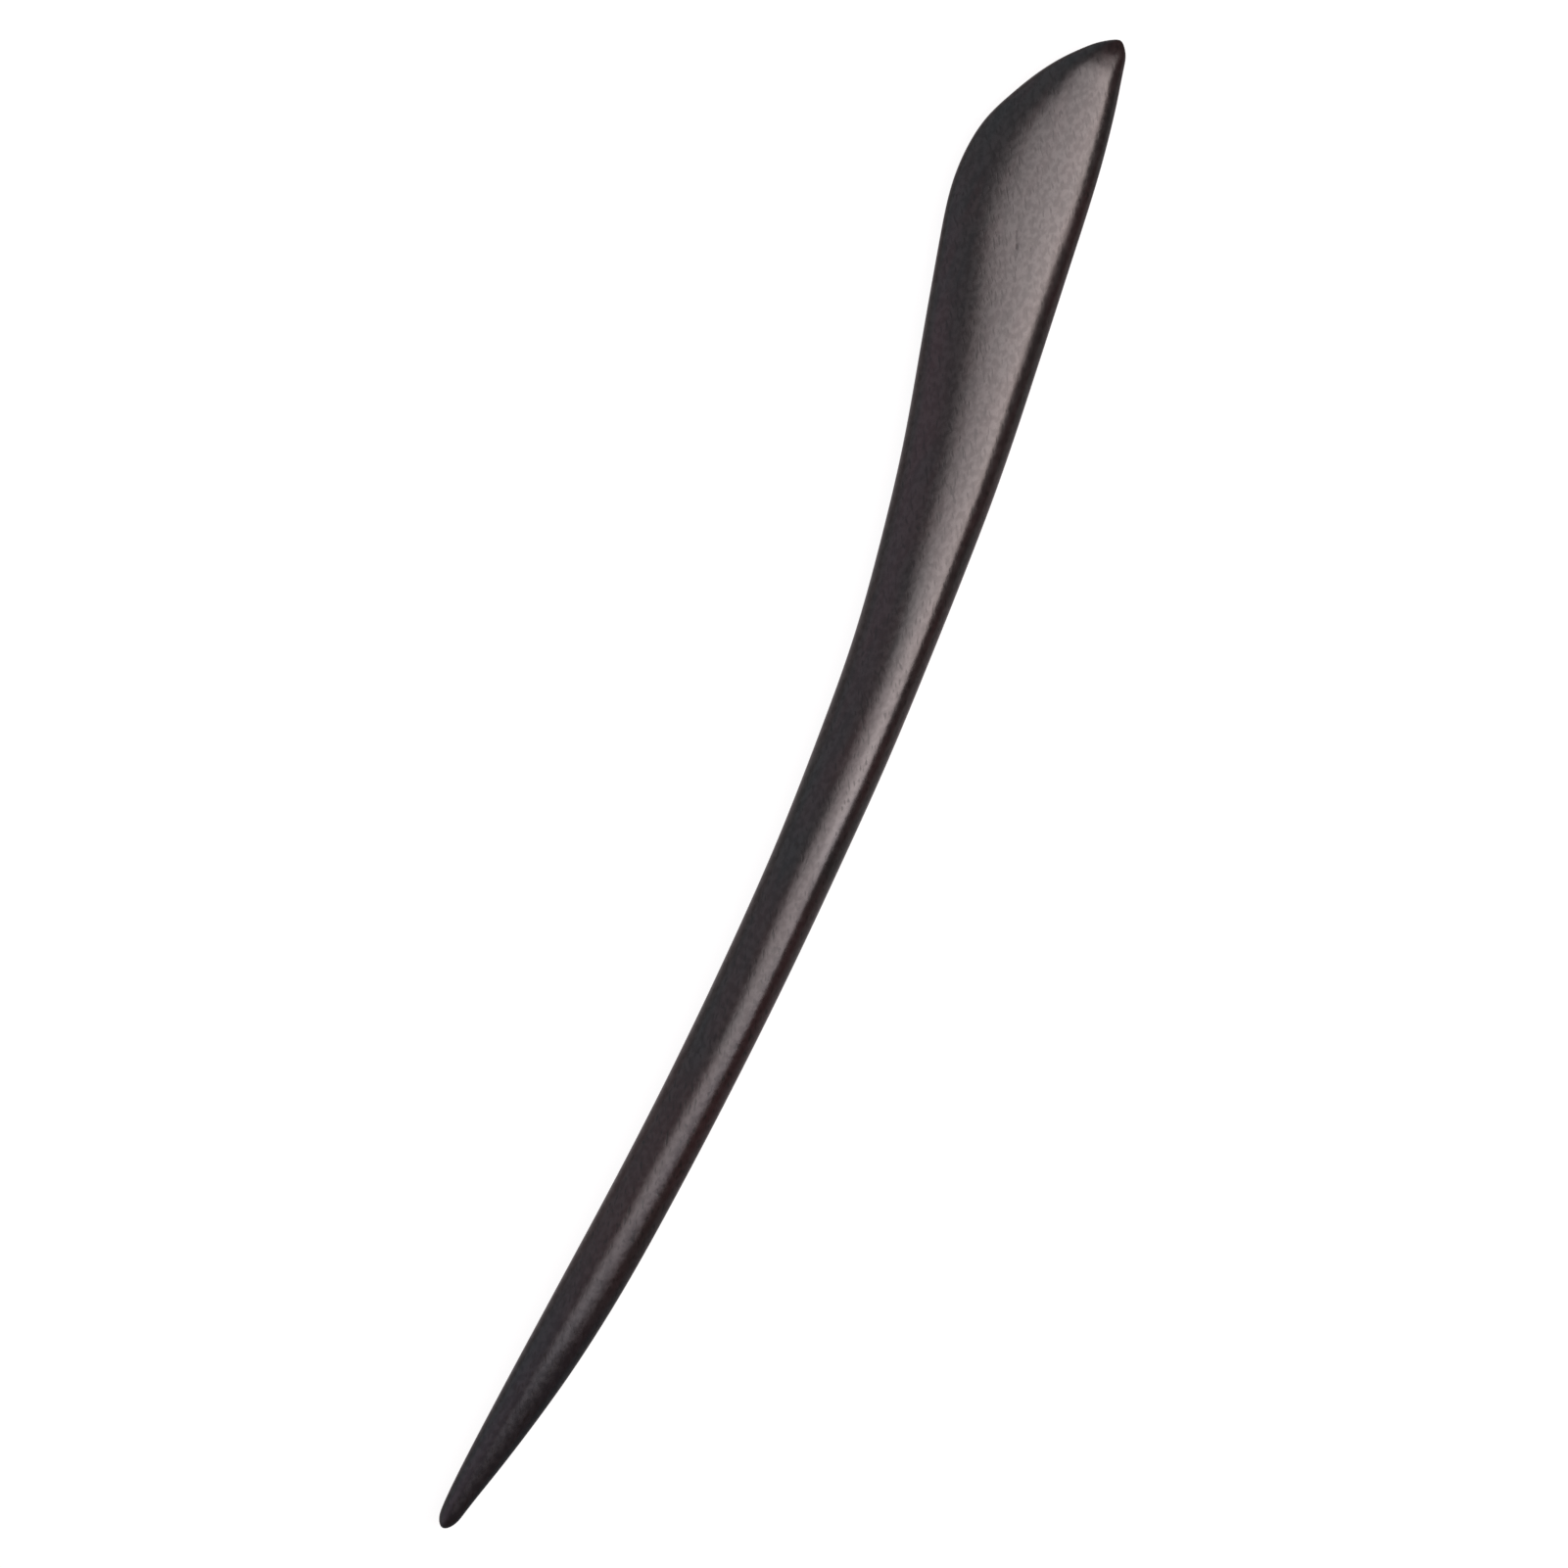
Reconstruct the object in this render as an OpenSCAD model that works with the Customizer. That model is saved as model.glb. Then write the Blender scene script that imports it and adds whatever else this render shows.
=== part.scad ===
// Carved wooden hair stick, one solid piece of dark hardwood.
// It lies face up: +X runs from the point to the head, +Z is up, and -Y is the
// side that the shaft bows out to. The origin is on the table, under the middle.

/* [Length and curve] */
// Length from the point to the tip of the head, along the chord of the outer edge
stick_length = 180; // [160:1:240]
// Rise of the long arc that the stick follows, at the middle of its length
arc_rise = 6.9; // [0:0.1:16]

/* [Point] */
// Length over which the shaft tapers to the point
point_length = 46; // [30:1:54]
// Length over which the point is rounded off
point_round = 1.7; // [0.5:0.1:5]

/* [Shaft] */
// Width of the shaft, seen from above
shaft_width = 7.15; // [4:0.05:10]
// Thickness of the shaft, seen from the side
shaft_thickness = 6.2; // [3:0.1:9]

/* [Head] */
// Length over which the shaft swells into the head and narrows to its tip
head_length = 100; // [70:1:104]
// Width of the head at its widest, seen from above
head_width = 15.35; // [10:0.05:24]
// Thickness of the head at its widest, seen from the side
head_thickness = 5; // [3:0.1:8]

// Length over which the tip of the head is rounded off
tip_round = 1.8; // [0.5:0.1:5]

/* [Section] */
// Squareness of a section: 2 is an ellipse, more fills its corners
squareness = 2.2; // [2:0.05:3]
// Most that the faces lean to one side, in degrees, as carving by hand leaves them
most_lean = 9; // [0:0.1:12]
// Depth that is rubbed off the underside, which leaves a narrow flat that it lies on
flat_depth = 0.12; // [0:0.01:0.3]

/* [Smoothness] */
// Steps along the stick between its two rounded ends
steps_along = 68; // [40:2:100]
// Steps along each rounded end
steps_in_end = 5; // [3:1:8]
// Sides of each section
steps_around = 40; // [16:4:56]

/* [Hidden] */

// Columns of the section tables
AT = 0;    // place, as a share of the length of the point or of the head
BACK = 1;  // outer edge's distance from the arc, as a share of half the shaft's width
GROWN = 2; // how far the shaft has grown into the head, from 0 to 1
FLAT = 3;  // how far the shaft has flattened into the head, from 0 to 1
WIDE = 4;  // share of the width that is left where an end narrows
DEEP = 5;  // share of the thickness that is left where an end narrows

// Columns of the table of leans
PLACE = 0; // place, as a share of the stick's length
LEAN = 1;  // lean of the faces, as a share of the most that they lean

// Sections that taper the shaft to its point, from the point on
POINT_SECTIONS = [
    // AT   BACK  GROWN  FLAT  WIDE  DEEP
    [0.00, 0.20, 0.00, 0.00, 0.27, 0.30],
    [0.08, 0.29, 0.00, 0.00, 0.40, 0.42],
    [0.20, 0.48, 0.00, 0.00, 0.57, 0.57],
    [0.35, 0.68, 0.00, 0.00, 0.73, 0.71],
    [0.50, 0.83, 0.00, 0.00, 0.85, 0.82],
    [0.70, 0.92, 0.00, 0.00, 0.93, 0.89],
    [1.00, 0.93, 0.00, 0.00, 0.96, 0.94],
];

// Sections that swell the shaft into the slanted head, up to its tip
HEAD_SECTIONS = [
    // AT   BACK  GROWN  FLAT  WIDE  DEEP
    [0.00, 0.93, 0.03, 0.00, 1.00, 0.99],
    [0.16, 0.97, 0.12, 0.00, 1.00, 1.00],
    [0.28, 0.97, 0.20, 0.00, 1.00, 1.00],
    [0.40, 0.98, 0.36, 0.00, 1.00, 1.00],
    [0.50, 0.99, 0.53, 0.00, 1.00, 1.00],
    [0.64, 0.93, 0.79, 0.16, 1.00, 1.00],
    [0.74, 0.92, 0.96, 0.80, 1.00, 1.00],
    [0.78, 0.93, 1.00, 1.00, 1.00, 0.99],
    [0.82, 0.94, 1.00, 1.00, 0.98, 0.97],
    [0.86, 0.94, 1.00, 1.00, 0.91, 0.93],
    [0.89, 0.92, 1.00, 1.00, 0.80, 0.87],
    [0.93, 0.87, 1.00, 1.00, 0.62, 0.78],
    [0.96, 0.80, 1.00, 1.00, 0.44, 0.62],
    [1.00, 0.72, 1.00, 1.00, 0.14, 0.10],
];

// Leans from the point to the head: a face that leans more than 0 rises to the inner side
LEANS = [
    // PLACE LEAN
    [0.00, 0.00],
    [0.12, 0.30],
    [0.24, 0.05],
    [0.34, -0.35],
    [0.44, -0.05],
    [0.52, -0.38],
    [0.60, -0.50],
    [0.68, -0.18],
    [0.78, -0.08],
    [0.88, 0.24],
    [0.96, 0.30],
    [1.00, 1.00],
];

// A row of a table with its place in millimetres from the point
function placed(row, start, length) =
    [start + row[AT] * length, for (column = [BACK:DEEP]) row[column]];

// Both tables as one, from the point to the tip of the head
SECTIONS = [
    for (row = POINT_SECTIONS) placed(row, 0, point_length),
    for (row = HEAD_SECTIONS) placed(row, stick_length - head_length, head_length),
];

// Slope of a column at one row, from the rows on either side of it
function slope(column, row) =
    let (
        before = SECTIONS[max(row - 1, 0)],
        after = SECTIONS[min(row + 1, len(SECTIONS) - 1)]
    )
    (after[column] - before[column]) / (after[AT] - before[AT]);

// Last row that stands at or before a distance x from the point
function row_before(x, row = 0) =
    row >= len(SECTIONS) - 2 || x < SECTIONS[row + 1][AT] ? row : row_before(x, row + 1);

// Value of a column at x, on a smooth curve through the rows
function share(column, x) =
    let (
        row = row_before(x),
        here = SECTIONS[row],
        next = SECTIONS[row + 1],
        gap = next[AT] - here[AT],
        q = (x - here[AT]) / gap,
        ease = q * q * (3 - 2 * q)
    )
    here[column] * (1 - ease) + next[column] * ease
    + gap * slope(column, row) * q * (1 - q) * (1 - q)
    - gap * slope(column, row + 1) * q * q * (1 - q);

// Mix of two sizes
function mix(low, high, part) = low + (high - low) * part;

// Slope of the faces at a share of the length, eased from one row of the leans to the next
function lean_slope(place, row = 0) =
    row < len(LEANS) - 2 && place > LEANS[row + 1][PLACE] ? lean_slope(place, row + 1) :
    let (
        here = LEANS[row],
        next = LEANS[row + 1],
        q = (place - here[PLACE]) / (next[PLACE] - here[PLACE]),
        ease = q * q * (3 - 2 * q)
    )
    tan(most_lean * mix(here[LEAN], next[LEAN], ease));

// Rounding of an end: 0 at the very end, 1 from the rounding's length inwards
function rounding(reach, length) =
    reach >= length ? 1 : sqrt(1 - pow(1 - reach / length, 2));

// Both ends' rounding at x
function end_cap(x) = rounding(x, point_round) * rounding(stick_length - x, tip_round);

// Height of the long arc over its chord
function arc_height(x) = arc_rise * 4 * x * (stick_length - x) / pow(stick_length, 2);

// Width and thickness of a section before its end is rounded off
function full_width(x) = mix(shaft_width, head_width, share(GROWN, x)) * share(WIDE, x);
function full_thickness(x) = mix(shaft_thickness, head_thickness, share(FLAT, x));

// How far a section of these half sizes rises, so that its lean leaves it as low as it was
function lift(half_width, half_depth, tilt) =
    let (power = squareness / (squareness - 1))
    pow(pow(half_depth, power) + pow(abs(tilt) * half_width, power), 1 / power) - half_depth;

// Middle of an unleant section: its outer edge keeps to the arc, its underside to the table
function centre(x) = [
    x,
    full_width(x) / 2 - arc_height(x) - share(BACK, x) * shaft_width / 2,
    full_thickness(x) / 2
];

// A coordinate of the section's rounded outline, from 0 to 1 each way
function squared(value) = sign(value) * pow(abs(value), 2 / squareness);

// Points of the section at x
function section(x) =
    let (
        half_width = full_width(x) * end_cap(x) / 2,
        half_depth = full_thickness(x) * share(DEEP, x) * end_cap(x) / 2,
        tilt = lean_slope(x / stick_length),
        raised = centre(x) + [0, 0, lift(half_width, half_depth, tilt)]
    )
    [
        for (side = [0:steps_around - 1])
        let (
            angle = 360 * side / steps_around,
            out = half_width * squared(cos(angle)),
            up = half_depth * squared(sin(angle)),
            corner = raised + [0, out, up + tilt * out]
        )
        [corner[0], corner[1], max(corner[2], flat_depth)]
    ];

// Share of a rounded end's length at one of its steps, which turn by equal angles
function end_reach(step) = 1 - cos(90 * step / steps_in_end);

// Share of the length between the rounded ends at a step, in closer steps at both ends
function body_reach(step) =
    let (even = step / steps_along, crowding = 0.7)
    mix(even, (1 - cos(180 * even)) / 2, crowding);

// Places of all the sections, from the point to the head
PLACES = [
    for (step = [1:steps_in_end - 1]) point_round * end_reach(step),
    for (step = [0:steps_along]) mix(point_round, stick_length - tip_round, body_reach(step)),
    for (step = [steps_in_end - 1:-1:1]) stick_length - tip_round * end_reach(step),
];

// Points on the stick: the point, every section, and the tip of the head
SKIN = [centre(0), for (x = PLACES) each section(x), centre(stick_length)];
RINGS = len(PLACES);

// Number of a skin point, on a section counted from 1 and at a side counted from 0
function skin_point(ring, side) = 1 + (ring - 1) * steps_around + side % steps_around;

FACES = [
    for (side = [0:steps_around - 1])
    [0, skin_point(1, side), skin_point(1, side + 1)],
    for (ring = [1:RINGS - 1])
    for (side = [0:steps_around - 1])
    each [
        [skin_point(ring, side), skin_point(ring + 1, side), skin_point(ring + 1, side + 1)],
        [skin_point(ring, side), skin_point(ring + 1, side + 1), skin_point(ring, side + 1)],
    ],
    for (side = [0:steps_around - 1])
    [skin_point(RINGS, side), len(SKIN) - 1, skin_point(RINGS, side + 1)],
];

// Middle of the stick's box, seen from above, and the lowest point under it
LOW = [for (axis = [0:2]) min([for (point = SKIN) point[axis]])];
HIGH = [for (axis = [0:2]) max([for (point = SKIN) point[axis]])];
ORIGIN = [(LOW[0] + HIGH[0]) / 2, (LOW[1] + HIGH[1]) / 2, LOW[2]];

// The whole stick: point, bowed shaft and slanted head in one piece
module stick() {
    color([0.20, 0.17, 0.17])
    translate(-ORIGIN)
    polyhedron(points = SKIN, faces = FACES, convexity = 4);
}

stick();
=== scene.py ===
"""A hair stick of near-black oiled hardwood, lying face up on a pale table.

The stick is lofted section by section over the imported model, carved a little uneven as hand
work is, and seen from straight above under a wide softbox. Sizes are in metres.
"""

import logging
import math
from dataclasses import dataclass
from enum import Enum

import bmesh
import bpy
from mathutils import Matrix, Vector, noise

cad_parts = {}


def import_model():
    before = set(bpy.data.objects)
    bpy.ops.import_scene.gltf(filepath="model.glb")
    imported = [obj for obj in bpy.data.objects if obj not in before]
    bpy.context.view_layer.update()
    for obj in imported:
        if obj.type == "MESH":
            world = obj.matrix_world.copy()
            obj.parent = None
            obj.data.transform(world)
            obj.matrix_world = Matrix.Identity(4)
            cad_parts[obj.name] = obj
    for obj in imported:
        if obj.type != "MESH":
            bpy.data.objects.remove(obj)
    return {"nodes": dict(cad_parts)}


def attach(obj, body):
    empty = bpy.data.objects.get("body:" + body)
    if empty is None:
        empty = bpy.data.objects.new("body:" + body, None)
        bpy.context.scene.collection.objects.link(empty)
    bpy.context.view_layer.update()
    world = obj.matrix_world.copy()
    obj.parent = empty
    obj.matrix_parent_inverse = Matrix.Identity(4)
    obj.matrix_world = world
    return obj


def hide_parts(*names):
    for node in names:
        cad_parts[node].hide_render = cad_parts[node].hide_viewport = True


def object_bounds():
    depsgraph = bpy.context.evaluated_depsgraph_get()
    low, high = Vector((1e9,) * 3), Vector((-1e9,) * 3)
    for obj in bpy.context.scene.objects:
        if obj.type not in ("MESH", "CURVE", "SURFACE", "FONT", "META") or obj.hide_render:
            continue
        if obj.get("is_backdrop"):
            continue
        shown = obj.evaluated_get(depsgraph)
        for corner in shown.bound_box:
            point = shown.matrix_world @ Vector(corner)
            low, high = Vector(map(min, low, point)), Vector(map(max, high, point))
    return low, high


NICK_LAYER = "nick"
MOTTLES = ("Fine", "Broad", "Patch")
MM = 0.001

# Red, green, blue and alpha
Colour = tuple[float, float, float, float]
# Two places or values, or one place along X and Y
Pair = tuple[float, float]
# What a node's input takes: a number, a colour or another node's output
Value = float | Colour | bpy.types.NodeSocket
# A node's outputs, by name
Outputs = bpy.types.NodeOutputs

log = logging.getLogger("hair_stick")


class Socket(Enum):
    """Kinds of socket on a shader node group."""

    NUMBER = "NodeSocketFloat"
    VECTOR = "NodeSocketVector"


class Canvas:
    """Adds, sets and joins the nodes of one node tree."""

    def __init__(self, tree: bpy.types.NodeTree) -> None:
        """Takes the tree that the nodes go into."""
        self.tree = tree

    def node(
        self, kind: str, inputs: dict[str | int, Value] | None = None, **settings: object
    ) -> bpy.types.Node:
        """Adds one node.

        Args:
            kind: Blender's name for the kind of node.
            inputs: Value or output socket for each input, by name or number.
            settings: Values for the node's own properties.

        Returns:
            The new node.
        """
        made = self.tree.nodes.new(kind)
        for name, value in settings.items():
            setattr(made, name, value)
        for key, value in (inputs or {}).items():
            if isinstance(value, bpy.types.NodeSocket):
                self.tree.links.new(value, made.inputs[key])
            else:
                made.inputs[key].default_value = value
        return made

    def math(self, operation: str, *values: Value, clamp: bool = False) -> bpy.types.NodeSocket:
        """Adds a Math node.

        Args:
            operation: Blender's name for the sum.
            values: Number or output socket for each input in turn.
            clamp: Whether the result is kept between 0 and 1.

        Returns:
            The node's result.
        """
        made = self.node("ShaderNodeMath", dict(enumerate(values)), operation=operation)
        made.use_clamp = clamp
        return made.outputs[0]

    def ramp(self, value: bpy.types.NodeSocket, low: float, high: float) -> bpy.types.NodeSocket:
        """Maps a value smoothly from 0 at low to 1 at high.

        Args:
            value: The value to map.
            low: Where the result is 0.
            high: Where the result is 1.

        Returns:
            The mapped value.
        """
        made = self.node(
            "ShaderNodeMapRange",
            {"Value": value, "From Min": low, "From Max": high},
            interpolation_type="SMOOTHSTEP",
        )
        return made.outputs["Result"]

    def between(self, value: bpy.types.NodeSocket, low: float, high: float) -> bpy.types.NodeSocket:
        """Maps a value from 0 to 1 onto a range.

        Args:
            value: The value to map.
            low: Result at 0.
            high: Result at 1.

        Returns:
            The mapped value.
        """
        made = self.node("ShaderNodeMapRange", {"Value": value, "To Min": low, "To Max": high})
        return made.outputs["Result"]

    def blend(self, part: Value, first: Value, second: Value) -> bpy.types.NodeSocket:
        """Mixes two colours.

        Args:
            part: Share of the second colour.
            first: First colour, as values or an output socket.
            second: Second colour, as values or an output socket.

        Returns:
            The mixed colour.
        """
        made = self.node("ShaderNodeMix", data_type="RGBA")
        sockets = [s for s in made.inputs if s.enabled]
        for socket, value in zip(sockets, (part, first, second)):
            if isinstance(value, bpy.types.NodeSocket):
                self.tree.links.new(value, socket)
            else:
                socket.default_value = value
        return next(s for s in made.outputs if s.enabled)


class Group:
    """A shader node group with named inputs and outputs."""

    def __init__(
        self, name: str, inputs: dict[str, tuple[Socket, float | None]], outputs: dict[str, Socket]
    ) -> None:
        """Makes the empty group.

        Args:
            name: The group's name.
            inputs: Kind of socket and default value, if it has one, by input name.
            outputs: Kind of socket, by output name.
        """
        self.tree = bpy.data.node_groups.new(name, "ShaderNodeTree")
        for label, (kind, value) in inputs.items():
            made = self.tree.interface.new_socket(label, in_out="INPUT", socket_type=kind.value)
            if value is not None:
                made.default_value = value
        for label, kind in outputs.items():
            self.tree.interface.new_socket(label, in_out="OUTPUT", socket_type=kind.value)
        self.canvas = Canvas(self.tree)
        self.inputs = self.canvas.node("NodeGroupInput").outputs
        self.results = self.canvas.node("NodeGroupOutput").inputs

    def put(self, label: str, value: bpy.types.NodeSocket) -> None:
        """Joins a value to one of the group's outputs."""
        self.tree.links.new(value, self.results[label])


def stretched_noise(
    canvas: Canvas, where: bpy.types.NodeSocket, length: Value, width: Value, detail: float
) -> bpy.types.NodeSocket:
    """Noise drawn out along X, as wood fibres are.

    Args:
        canvas: Tree that the nodes go into.
        where: The coordinates.
        length: Length of a patch along X, in metres.
        width: Width of a patch across X, in metres.
        detail: Octaves of finer noise.

    Returns:
        The noise, mostly between 0.3 and 0.7.
    """
    parts = canvas.node("ShaderNodeSeparateXYZ", {0: where}).outputs
    scaled = canvas.node(
        "ShaderNodeCombineXYZ",
        {
            0: canvas.math("DIVIDE", parts[0], length),
            1: canvas.math("DIVIDE", parts[1], width),
            2: canvas.math("DIVIDE", parts[2], width),
        },
    )
    made = canvas.node(
        "ShaderNodeTexNoise", {"Vector": scaled.outputs[0], "Scale": 1.0, "Detail": detail}
    )
    return made.outputs[0]


def grain_group() -> bpy.types.NodeTree:
    """Builds the wood grain: dark and light streaks, and open pores, along the bowed stick.

    Returns:
        The group's tree, with the outputs Streak, Pore, Height, Along and Aside. Along runs from
        0 at the point to 1 at the head. Aside is the place across, as if the stick were straight.
    """
    group = Group(
        "wood_grain",
        {
            "Vector": (Socket.VECTOR, None),
            "Bow": (Socket.NUMBER, 10 * MM),
            "Half Length": (Socket.NUMBER, None),
            "Streak Width": (Socket.NUMBER, 0.9 * MM),
            "Streak Length": (Socket.NUMBER, 30 * MM),
            "Pore Width": (Socket.NUMBER, 0.28 * MM),
            "Pore Length": (Socket.NUMBER, 0.9 * MM),
            "Pore Turn": (Socket.NUMBER, math.radians(-24)),
            "Waver": (Socket.NUMBER, 1.2 * MM),
        },
        dict.fromkeys(("Streak", "Pore", "Height", "Along", "Aside"), Socket.NUMBER),
    )
    canvas = group.canvas
    waver_length, noise_middle = 45 * MM, 0.5
    streak_detail, plain = 3.0, 0.0
    streak_limits, pore_limits = (0.34, 0.66), (0.60, 0.78)
    streak_height = 0.3
    wander = stretched_noise(canvas, group.inputs["Vector"], waver_length, waver_length, plain)
    shift = canvas.math(
        "MULTIPLY", canvas.math("SUBTRACT", wander, noise_middle), group.inputs["Waver"]
    )
    along = canvas.node("ShaderNodeSeparateXYZ", {0: group.inputs["Vector"]}).outputs[0]
    reach = canvas.math("DIVIDE", along, group.inputs["Half Length"])
    arc = canvas.math("MULTIPLY", canvas.math("POWER", reach, 2.0), group.inputs["Bow"])
    sideways = canvas.node(
        "ShaderNodeCombineXYZ", {1: canvas.math("SUBTRACT", shift, arc), 2: shift}
    )
    where = canvas.node(
        "ShaderNodeVectorMath", {0: group.inputs["Vector"], 1: sideways.outputs[0]}, operation="ADD"
    ).outputs[0]
    streak = stretched_noise(
        canvas, where, group.inputs["Streak Length"], group.inputs["Streak Width"], streak_detail
    )
    turned = canvas.node(
        "ShaderNodeVectorRotate",
        {"Vector": where, "Angle": group.inputs["Pore Turn"]},
        rotation_type="Z_AXIS",
    ).outputs[0]
    pore = stretched_noise(
        canvas, turned, group.inputs["Pore Length"], group.inputs["Pore Width"], plain
    )
    streak = canvas.ramp(streak, *streak_limits)
    pore = canvas.ramp(pore, *pore_limits)
    raised = canvas.math("MULTIPLY", streak, streak_height)
    group.put("Streak", streak)
    group.put("Pore", pore)
    group.put("Height", canvas.math("SUBTRACT", raised, pore))
    group.put("Along", canvas.math("MULTIPLY_ADD", reach, 0.5, 0.5))
    group.put("Aside", canvas.node("ShaderNodeSeparateXYZ", {0: where}).outputs[1])
    return group.tree


def mottle_group() -> bpy.types.NodeTree:
    """Builds the soft cloudiness of a hand-rubbed oil finish.

    Returns:
        The group's tree, with the outputs Fine, Broad and Patch from 0 to 1.
    """
    group = Group(
        "rubbed_mottle",
        {
            "Vector": (Socket.VECTOR, None),
            "Fine Width": (Socket.NUMBER, 0.60 * MM),
            "Fine Length": (Socket.NUMBER, 0.80 * MM),
            "Broad Width": (Socket.NUMBER, 1.8 * MM),
            "Broad Length": (Socket.NUMBER, 9 * MM),
            "Patch Width": (Socket.NUMBER, 5 * MM),
            "Patch Length": (Socket.NUMBER, 22 * MM),
        },
        dict.fromkeys(MOTTLES, Socket.NUMBER),
    )
    detail = 1.0
    limits = (0.35, 0.65)
    for label in MOTTLES:
        length, width = group.inputs[label + " Length"], group.inputs[label + " Width"]
        cloud = stretched_noise(group.canvas, group.inputs["Vector"], length, width, detail)
        group.put(label, group.canvas.ramp(cloud, *limits))
    return group.tree


@dataclass(frozen=True)
class PolishedBand:
    """A band that handling has polished along the outer shoulder at the middle of the shaft.

    The polish goes from none at the first value of each pair to full at the second. Starts and
    ends are places along the stick, 0 at the point and 1 at the head. Inner and outer are places
    across it, as if it were straight.
    """

    coat: float = 0.56
    starts: Pair = (0.44, 0.50)
    ends: Pair = (0.74, 0.44)
    inner: Pair = (-6.7 * MM, -7.3 * MM)
    outer: Pair = (-8.3 * MM, -7.5 * MM)

    def share(
        self, canvas: Canvas, along: bpy.types.NodeSocket, aside: bpy.types.NodeSocket
    ) -> bpy.types.NodeSocket:
        """Works out how much coat the polish adds.

        Args:
            canvas: Tree that the nodes go into.
            along: Place along the stick.
            aside: Place across the stick.

        Returns:
            The added coat weight.
        """
        polish = self.coat
        for place, limits in (
            (along, self.starts),
            (along, self.ends),
            (aside, self.inner),
            (aside, self.outer),
        ):
            polish = canvas.math("MULTIPLY", polish, canvas.ramp(place, *limits))
        return polish


@dataclass(frozen=True)
class OiledHardwood:
    """Near-black hardwood, sanded fine and rubbed with oil to a soft satin.

    The oil lies as a thin coat, thicker in some spots than in others and none in the pores. A
    pair of roughness or oil is its least and its most in the mottle. A pair of patch_shares is
    the share at the point and at the head, and point_limits is where the point's colour starts
    and where it is full, as places along the stick.
    """

    name: str = "oiled_hardwood"
    cool: Colour = (0.0012, 0.0034, 0.0036, 1.0)
    warm: Colour = (0.0060, 0.0030, 0.0034, 1.0)
    streak: Colour = (0.0090, 0.0050, 0.0045, 1.0)
    pore: Colour = (0.0015, 0.0012, 0.0012, 1.0)
    patch: Colour = (0.0120, 0.0030, 0.0036, 1.0)
    point: Colour = (0.0014, 0.0024, 0.0040, 1.0)
    refraction: float = 1.5
    roughness: Pair = (0.225, 0.26)
    nick_roughness: float = 0.75
    oil: Pair = (0.05, 0.36)
    oil_roughness: float = 0.23
    polished: PolishedBand = PolishedBand()
    streak_share: float = 0.3
    patch_shares: Pair = (1.0, 0.1)
    point_limits: Pair = (0.22, 0.10)
    pore_depth: float = 0.003 * MM
    mottle_depth: float = 0.0025 * MM

    def material(self, half_length: float) -> bpy.types.Material:
        """Builds the wood's material.

        Args:
            half_length: Half the stick's length.

        Returns:
            The material.
        """
        made = bpy.data.materials.new(self.name)
        made.use_nodes = True
        canvas = Canvas(made.node_tree)
        where = canvas.node("ShaderNodeTexCoord").outputs["Object"]
        grain = canvas.node(
            "ShaderNodeGroup",
            {"Vector": where, "Half Length": half_length},
            node_tree=grain_group(),
        ).outputs
        mottle = canvas.node(
            "ShaderNodeGroup", {"Vector": where}, node_tree=mottle_group()
        ).outputs
        nick = canvas.node("ShaderNodeAttribute", attribute_name=NICK_LAYER).outputs["Fac"]
        bare = canvas.math("MAXIMUM", nick, grain["Pore"])
        shader = made.node_tree.nodes["Principled BSDF"]
        for socket, value in (
            ("Base Color", canvas.blend(bare, self.wood(canvas, grain, mottle), self.pore)),
            ("Roughness", self.rough(canvas, mottle, nick)),
            ("Coat Weight", self.coat(canvas, grain, mottle, bare)),
            ("Normal", self.relief(canvas, grain, mottle)),
        ):
            made.node_tree.links.new(value, shader.inputs[socket])
        shader.inputs["IOR"].default_value = self.refraction
        shader.inputs["Coat Roughness"].default_value = self.oil_roughness
        return made

    def wood(self, canvas: Canvas, grain: Outputs, mottle: Outputs) -> bpy.types.NodeSocket:
        """Mixes the wood's colour, redder in patches towards the point and cool at its end.

        Args:
            canvas: The material's nodes.
            grain: The grain's outputs.
            mottle: The mottle's outputs.

        Returns:
            The colour of the wood between its pores.
        """
        wood = canvas.blend(mottle["Broad"], self.cool, self.warm)
        share = canvas.between(grain["Along"], *self.patch_shares)
        wood = canvas.blend(canvas.math("MULTIPLY", mottle["Patch"], share), wood, self.patch)
        streak = canvas.math("MULTIPLY", grain["Streak"], self.streak_share)
        wood = canvas.blend(streak, wood, self.streak)
        return canvas.blend(canvas.ramp(grain["Along"], *self.point_limits), wood, self.point)

    def rough(
        self, canvas: Canvas, mottle: Outputs, nick: bpy.types.NodeSocket
    ) -> bpy.types.NodeSocket:
        """Works out the roughness of the sanded wood and of the torn wood in the nicks.

        Args:
            canvas: The material's nodes.
            mottle: The mottle's outputs.
            nick: How torn the wood is.

        Returns:
            The roughness.
        """
        sanded = canvas.between(mottle["Fine"], *self.roughness)
        return canvas.math("MAXIMUM", sanded, canvas.math("MULTIPLY", nick, self.nick_roughness))

    def coat(
        self, canvas: Canvas, grain: Outputs, mottle: Outputs, bare: bpy.types.NodeSocket
    ) -> bpy.types.NodeSocket:
        """Works out how much oil lies on the wood.

        Args:
            canvas: The material's nodes.
            grain: The grain's outputs.
            mottle: The mottle's outputs.
            bare: How bare of oil the wood is.

        Returns:
            The coat weight.
        """
        polish = self.polished.share(canvas, grain["Along"], grain["Aside"])
        oil = canvas.math("ADD", canvas.between(mottle["Fine"], *self.oil), polish)
        return canvas.math("MULTIPLY", oil, canvas.math("SUBTRACT", 1.0, bare))

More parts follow.
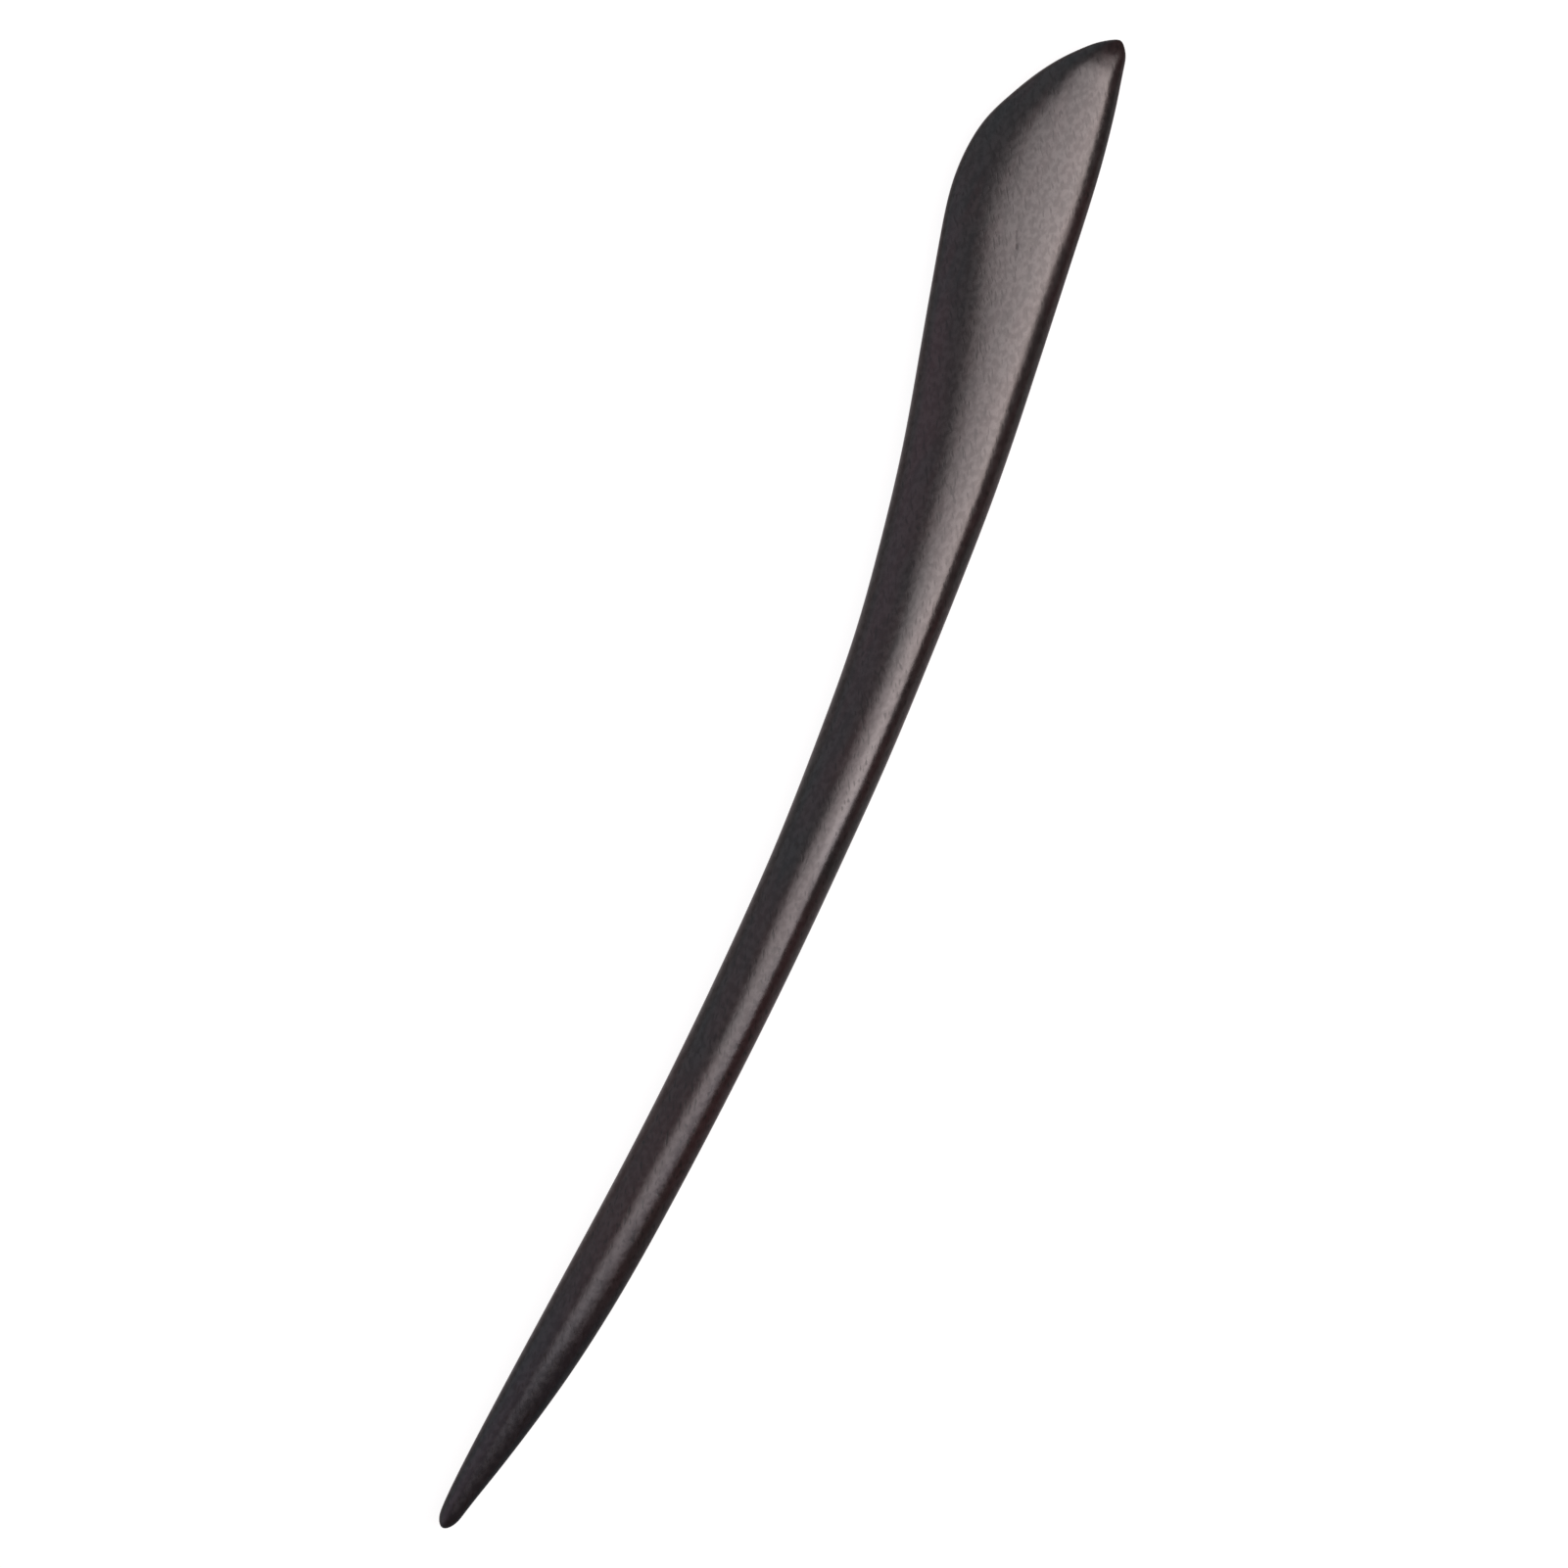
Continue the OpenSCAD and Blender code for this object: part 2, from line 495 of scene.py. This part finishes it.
    def relief(self, canvas: Canvas, grain: Outputs, mottle: Outputs) -> bpy.types.NodeSocket:
        """Raises the streaks and the mottle a little, and sinks the pores.

        Args:
            canvas: The material's nodes.
            grain: The grain's outputs.
            mottle: The mottle's outputs.

        Returns:
            The uneven surface's normal.
        """
        height = canvas.math(
            "ADD",
            canvas.math("MULTIPLY", grain["Height"], self.pore_depth),
            canvas.math("MULTIPLY", mottle["Fine"], self.mottle_depth),
        )
        bump = canvas.node("ShaderNodeBump", {"Height": height, "Distance": 1.0})
        return bump.outputs["Normal"]


@dataclass(frozen=True)
class PaleTable:
    """Plain matt white table top."""

    name: str = "pale_table"
    colour: Colour = (0.12, 0.12, 0.12, 1.0)
    glow_colour: Colour = (1.0, 1.0, 1.0, 1.0)
    glow: float = 0.91
    roughness: float = 0.9

    def material(self) -> bpy.types.Material:
        """Builds the table top's material.

        Returns:
            The material.
        """
        made = bpy.data.materials.new(self.name)
        made.use_nodes = True
        shader = made.node_tree.nodes["Principled BSDF"]
        for socket, value in (
            ("Base Color", self.colour),
            ("Roughness", self.roughness),
            ("Emission Color", self.glow_colour),
            ("Emission Strength", self.glow),
        ):
            shader.inputs[socket].default_value = value
        return made


def placed(mesh: bmesh.types.BMesh, name: str) -> bpy.types.Object:
    """Puts a mesh into the scene as an object at the origin.

    Args:
        mesh: The mesh, which is used up.
        name: The object's name.

    Returns:
        The object.
    """
    data = bpy.data.meshes.new(name)
    mesh.to_mesh(data)
    mesh.free()
    piece = bpy.data.objects.new(name, data)
    bpy.context.scene.collection.objects.link(piece)
    return piece


@dataclass
class Section:
    """One cross section of the stick, in a plane of constant X."""

    middle: Vector
    half_width: float
    half_depth: float
    slope: float

    def place(self) -> Matrix:
        """Finds the transform that takes the unit section to this one.

        Returns:
            The transform: the section's size, its lean towards +Y and its place.
        """
        size = Matrix.Diagonal((1.0, self.half_width, self.half_depth, 1.0))
        lean = Matrix.Identity(4)
        lean[2][1] = self.slope
        return Matrix.Translation(self.middle) @ lean @ size


@dataclass(frozen=True)
class Nick:
    """A short straight nick in the upper face, of even depth from one end to the other."""

    start: Pair
    length: float
    width: float
    depth: float
    roughness_share: float
    heading: float = math.radians(24)
    edge: float = 0.01

    def share_at(self, place: Vector) -> float:
        """Works out how much of the nick's depth there is at a place on the face.

        Args:
            place: The place.

        Returns:
            The share, which is 1 along the nick's middle and almost 0 away from it.
        """
        course = Vector((math.cos(self.heading), math.sin(self.heading)))
        aside = place.xy - Vector(self.start)
        along = min(max(aside.dot(course), 0.0), self.length)
        across = (aside - course * along).length
        return math.exp(-((2 * across / self.width) ** 2))

    def reaches(self, place: Vector) -> bool:
        """Tells whether a place on the face lies in the nick or close round it."""
        return self.share_at(place) > self.edge


# The long nick's faint line, the blob at its lower end, and a faint speck beside it
NICKS = (
    Nick(
        start=(64.2 * MM, 0.18 * MM),
        length=2.0 * MM,
        width=0.30 * MM,
        depth=0.012 * MM,
        roughness_share=0.55,
    ),
    Nick(
        start=(64.3 * MM, 0.21 * MM),
        length=0.45 * MM,
        width=0.42 * MM,
        depth=0.03 * MM,
        roughness_share=0.70,
    ),
    Nick(
        start=(64.6 * MM, -1.36 * MM),
        length=0.4 * MM,
        width=0.36 * MM,
        depth=0.015 * MM,
        roughness_share=0.52,
    ),
)


@dataclass
class Stick:
    """The carved stick: point, bowed shaft and slanted head in one piece."""

    node: bpy.types.Object
    finish: OiledHardwood
    nicks: tuple[Nick, ...] = NICKS
    sides: int = 48
    squareness: float = 2.2
    refine: int = 2
    nick_cuts: int = 3
    ring_digits: int = 6
    over_middle: float = 0.01 * MM
    wave_height: float = 0.03 * MM
    wave_length: float = 14 * MM

    def sections(self) -> list[Section]:
        """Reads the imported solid's cross sections, from the point to the head.

        Returns:
            One section for each ring of the solid's corners. Both ends have no size.
        """
        rings: dict[float, list[Vector]] = {}
        for corner in self.node.data.vertices:
            rings.setdefault(round(corner.co.x, self.ring_digits), []).append(corner.co)
        return [self.section(rings[x]) for x in sorted(rings)]

    def section(self, ring: list[Vector]) -> Section:
        """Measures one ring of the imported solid's corners.

        Args:
            ring: The corners, of which the outermost two stand at the section's sides, and
                one more right over its middle. The underside can be cut flat.

        Returns:
            The section.
        """
        outer = min(ring, key=lambda corner: corner.y)
        inner = max(ring, key=lambda corner: corner.y)
        middle = (outer + inner) / 2
        across = inner - outer
        heights = [corner.z for corner in ring if abs(corner.y - middle.y) < self.over_middle]
        slope = across.z / across.y if across.y else 0.0
        return Section(middle, across.y / 2, max(heights) - middle.z, slope)

    def unit_section(self, mesh: bmesh.types.BMesh) -> list[bmesh.types.BMVert]:
        """Makes the rounded outline of a section, one unit out each way.

        Args:
            mesh: The mesh that it goes into.

        Returns:
            The outline's corners.
        """
        made = bmesh.ops.create_circle(mesh, segments=self.sides, radius=1.0)["verts"]
        for corner in made:
            y, z = (
                math.copysign(abs(part) ** (2 / self.squareness), part) for part in corner.co.xy
            )
            corner.co = Vector((0.0, y, z))
        return made

    def loft(self) -> bmesh.types.BMesh:
        """Draws the outline along the stick, section by section, and closes both ends.

        Returns:
            The closed mesh.
        """
        point, *between, tip = self.sections()
        mesh = bmesh.new()
        corners = self.unit_section(mesh)
        bmesh.ops.transform(mesh, matrix=between[0].place(), verts=corners)
        edges = list(mesh.edges)
        first = edges
        for last, here in zip(between, between[1:]):
            made = bmesh.ops.extrude_edge_only(mesh, edges=edges)["geom"]
            corners = [g for g in made if isinstance(g, bmesh.types.BMVert)]
            edges = [g for g in made if isinstance(g, bmesh.types.BMEdge)]
            step = here.place() @ last.place().inverted()
            bmesh.ops.transform(mesh, matrix=step, verts=corners)
        for loop, end in ((first, point), (edges, tip)):
            face = bmesh.ops.edgeloop_fill(mesh, edges=loop)["faces"]
            pole = bmesh.ops.poke(mesh, faces=face)["verts"]
            pole[0].co = end.middle
        bmesh.ops.recalc_face_normals(mesh, faces=mesh.faces)
        return mesh

    def smooth(self, mesh: bmesh.types.BMesh) -> bmesh.types.BMesh:
        """Rounds the lofted mesh with a subdivision surface and applies it.

        Args:
            mesh: The lofted mesh, which is used up.

        Returns:
            The finer mesh.
        """
        piece = placed(mesh, "lofted")
        data = piece.data
        rounding = piece.modifiers.new("rounding", "SUBSURF")
        rounding.levels = rounding.render_levels = self.refine
        bpy.context.view_layer.update()
        fine = bmesh.new()
        fine.from_object(piece, bpy.context.evaluated_depsgraph_get())
        bpy.data.objects.remove(piece)
        bpy.data.meshes.remove(data)
        return fine

    def carve(self, mesh: bmesh.types.BMesh) -> None:
        """Makes the surface a little uneven, as a hand-carved one is, and its underside flat.

        Args:
            mesh: The smooth mesh.
        """
        mesh.normal_update()
        for corner in mesh.verts:
            wave = noise.noise(corner.co / self.wave_length)
            corner.co += corner.normal * (wave * self.wave_height)
            corner.co.z = max(corner.co.z, 0.0)

    def cut_nicks(self, mesh: bmesh.types.BMesh) -> None:
        """Presses the nicks into the upper face, whose mesh is made finer round them.

        Args:
            mesh: The carved mesh.
        """
        middle = self.node.dimensions.z / 2
        near = {
            edge
            for face in mesh.faces
            if face.calc_center_median().z > middle
            and any(nick.reaches(corner.co) for corner in face.verts for nick in self.nicks)
            for edge in face.edges
        }
        edges = [edge for edge in mesh.edges if edge in near]
        bmesh.ops.subdivide_edges(mesh, edges=edges, cuts=self.nick_cuts, use_grid_fill=True)
        layer = mesh.verts.layers.float.new(NICK_LAYER)
        for corner in mesh.verts:
            if corner.co.z < middle:
                continue
            shares = [nick.share_at(corner.co) for nick in self.nicks]
            corner[layer] = max(s * nick.roughness_share for s, nick in zip(shares, self.nicks))
            corner.co.z -= max(s * nick.depth for s, nick in zip(shares, self.nicks))

    def build(self) -> bpy.types.Object:
        """Builds the finished piece.

        Returns:
            The piece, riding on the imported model's body in place of its solid.
        """
        mesh = self.smooth(self.loft())
        self.carve(mesh)
        self.cut_nicks(mesh)
        for face in mesh.faces:
            face.smooth = True
        piece = placed(mesh, "carved_stick")
        piece.data.materials.append(self.finish.material(self.node.dimensions.x / 2))
        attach(piece, "root")
        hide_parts("stick")
        return piece


@dataclass
class Table:
    """The table top that the stick lies on."""

    finish: PaleTable
    half_side: float = 3.0
    air: float = 0.01 * MM

    def build(self) -> bpy.types.Object:
        """Builds the table top, with a hair's breadth of air between it and the stick's flat.

        Returns:
            The table top, which isn't part of the object.
        """
        mesh = bmesh.new()
        low = Matrix.Translation((0.0, 0.0, -self.air))
        bmesh.ops.create_grid(mesh, x_segments=1, y_segments=1, size=self.half_side, matrix=low)
        piece = placed(mesh, "table_top")
        piece.data.materials.append(self.finish.material())
        piece.visible_glossy = False
        piece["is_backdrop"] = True
        return piece


@dataclass
class Softbox:
    """A flat softbox that faces straight down, dimmer and cooler towards its left side.

    It fades out to that side and towards the stick's point. Low and high are its corners on X
    and Y before it is turned.
    """

    low: Pair = (-0.24, -0.90)
    high: Pair = (0.50, 0.11)
    height: float = 0.80
    turn: float = math.radians(9.1)
    fade: float = 0.18
    end_fade: float = 0.15
    rise_power: float = 1.5
    side_level: float = 0.50
    far_level: float = 1.22
    radiance: float = 6.4
    colour: Colour = (1.14, 0.965, 0.93, 1.0)
    side_colour: Colour = (1.075, 0.97, 0.98, 1.0)
    end_colour: Colour = (0.86, 0.98, 1.22, 1.0)

    def build(self) -> bpy.types.Object:
        """Hangs the softbox over the table.

        Returns:
            The light.
        """
        lamp = bpy.data.lights.new("key_softbox", "AREA")
        lamp.shape = "RECTANGLE"
        lamp.size = self.high[0] - self.low[0]
        lamp.size_y = self.high[1] - self.low[1]
        lamp.energy = self.radiance * math.pi * lamp.size * lamp.size_y
        lamp.use_nodes = True
        canvas = Canvas(lamp.node_tree)
        place = canvas.node("ShaderNodeNewGeometry").outputs["Parametric"]
        parts = canvas.node("ShaderNodeSeparateXYZ", {0: place}).outputs
        inward = canvas.math("SUBTRACT", 1.0, parts[1])
        fade = canvas.math("DIVIDE", inward, self.fade / lamp.size_y, clamp=True)
        end_fade = canvas.math("DIVIDE", parts[0], self.end_fade / lamp.size, clamp=True)
        rise = canvas.math("POWER", inward, self.rise_power)
        level = canvas.between(rise, self.side_level, self.far_level)
        level = canvas.math("MULTIPLY", level, canvas.math("MULTIPLY", fade, end_fade))
        shade = canvas.blend(inward, self.side_colour, self.colour)
        shade = canvas.blend(end_fade, self.end_colour, shade)
        emission = lamp.node_tree.nodes["Emission"]
        lamp.node_tree.links.new(level, emission.inputs["Strength"])
        lamp.node_tree.links.new(shade, emission.inputs["Color"])
        made = bpy.data.objects.new("key_softbox", lamp)
        centre = Vector((self.low[0] + self.high[0], self.low[1] + self.high[1], 0.0)) / 2
        turn = Matrix.Rotation(self.turn, 4, "Z")
        hung = Matrix.Translation((0, 0, self.height))
        made.matrix_world = hung @ turn @ Matrix.Translation(centre)
        made.visible_camera = False
        bpy.context.scene.collection.objects.link(made)
        return made


@dataclass
class Room:
    """The dim room round the table, paler on its left side, and the table's own light.

    Shiny surfaces see this in place of the table top, which is left out for them. Its limits are
    parts of a direction: point_side along X, the other sides along Y, and the rest along Z.
    """

    right: Colour = (0.26, 0.175, 0.175, 1.0)
    left: Colour = (0.555, 0.56, 0.60, 1.0)
    point_left: Colour = (0.84, 0.66, 0.77, 1.0)
    near_table: Colour = (0.43, 0.38, 0.385, 1.0)
    far_table: Colour = (0.50, 0.44, 0.43, 1.0)
    point_table: Colour = (0.18, 0.17, 0.175, 1.0)
    backdrop: Colour = (0.95, 0.95, 0.95, 1.0)
    from_side: float = -0.2
    to_side: float = 0.6
    horizon: float = 0.12
    far_side: float = -0.5
    far_down: float = -0.55
    point_side: float = -0.12
    point_up: float = 0.55

    def build(self) -> None:
        """Sets the room, which the camera itself sees as a plain pale backdrop."""
        world = bpy.data.worlds.new("room")
        world.use_nodes = True
        canvas = Canvas(world.node_tree)
        where = canvas.node("ShaderNodeTexCoord").outputs["Generated"]
        parts = canvas.node("ShaderNodeSeparateXYZ", {0: where}).outputs
        side = canvas.ramp(parts[1], self.from_side, self.to_side)
        pointward = canvas.ramp(parts[0], 0.0, self.point_side)
        upward = canvas.ramp(parts[2], self.horizon, self.point_up)
        high = canvas.math("MULTIPLY", pointward, upward)
        left = canvas.blend(high, self.left, self.point_left)
        walls = canvas.blend(side, self.right, left)
        far = canvas.math(
            "MULTIPLY",
            canvas.ramp(parts[1], 0.0, self.far_side),
            canvas.ramp(parts[2], self.far_down, -self.horizon),
        )
        table = canvas.blend(far, self.near_table, self.far_table)
        outer = canvas.math("MULTIPLY", pointward, canvas.math("SUBTRACT", 1.0, side))
        table = canvas.blend(outer, table, self.point_table)
        low = canvas.ramp(parts[2], self.horizon, -self.horizon)
        walls = canvas.blend(low, walls, table)
        seen = canvas.node("ShaderNodeLightPath").outputs["Is Camera Ray"]
        colour = canvas.blend(seen, walls, self.backdrop)
        surface = world.node_tree.nodes["Background"]
        world.node_tree.links.new(colour, surface.inputs["Color"])
        bpy.context.scene.world = world
        bpy.context.scene.view_settings.view_transform = "Standard"


@dataclass
class OverheadCamera:
    """A long lens straight above the stick, turned and framed as the photograph is.

    Values that end in px are in pixels of the square picture, from its upper left corner.
    """

    stick_length: float
    picture_px: float = 1601.0
    stick_px: float = 1669.6
    origin_px: Pair = (797.5, 800.2)
    heading: float = math.radians(66.08)
    height: float = 1.5
    focus_height: float = 0.003
    sensor: float = 36.0
    clip_end: float = 10.0

    def build(self) -> bpy.types.Object:
        """Hangs the camera and makes it the scene's own.

        Returns:
            The camera.
        """
        pixel = self.stick_length / self.stick_px
        data = bpy.data.cameras.new("overhead")
        data.sensor_width = self.sensor
        data.lens = self.sensor * (self.height - self.focus_height) / (pixel * self.picture_px)
        data.clip_end = self.clip_end
        made = bpy.data.objects.new("overhead", data)
        turn = Matrix.Rotation(-self.heading, 4, "Z")
        centre = self.picture_px / 2
        aside = Vector((centre - self.origin_px[0], self.origin_px[1] - centre, 0.0)) * pixel
        made.matrix_world = Matrix.Translation(turn @ aside + Vector((0, 0, self.height))) @ turn
        bpy.context.scene.collection.objects.link(made)
        bpy.context.scene.camera = made
        return made


def main() -> None:
    logging.basicConfig(level=logging.INFO, format="%(name)s: %(message)s")
    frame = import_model()
    cad_low, cad_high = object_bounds()
    OverheadCamera(stick_length=cad_high.x - cad_low.x).build()
    for maker in (Stick(frame["nodes"]["stick"], OiledHardwood()), Table(PaleTable())):
        piece = maker.build()
        log.info("%s: %d faces", piece.name, len(piece.data.polygons))
    Softbox().build()
    Room().build()


if __name__ == "__main__":
    main()
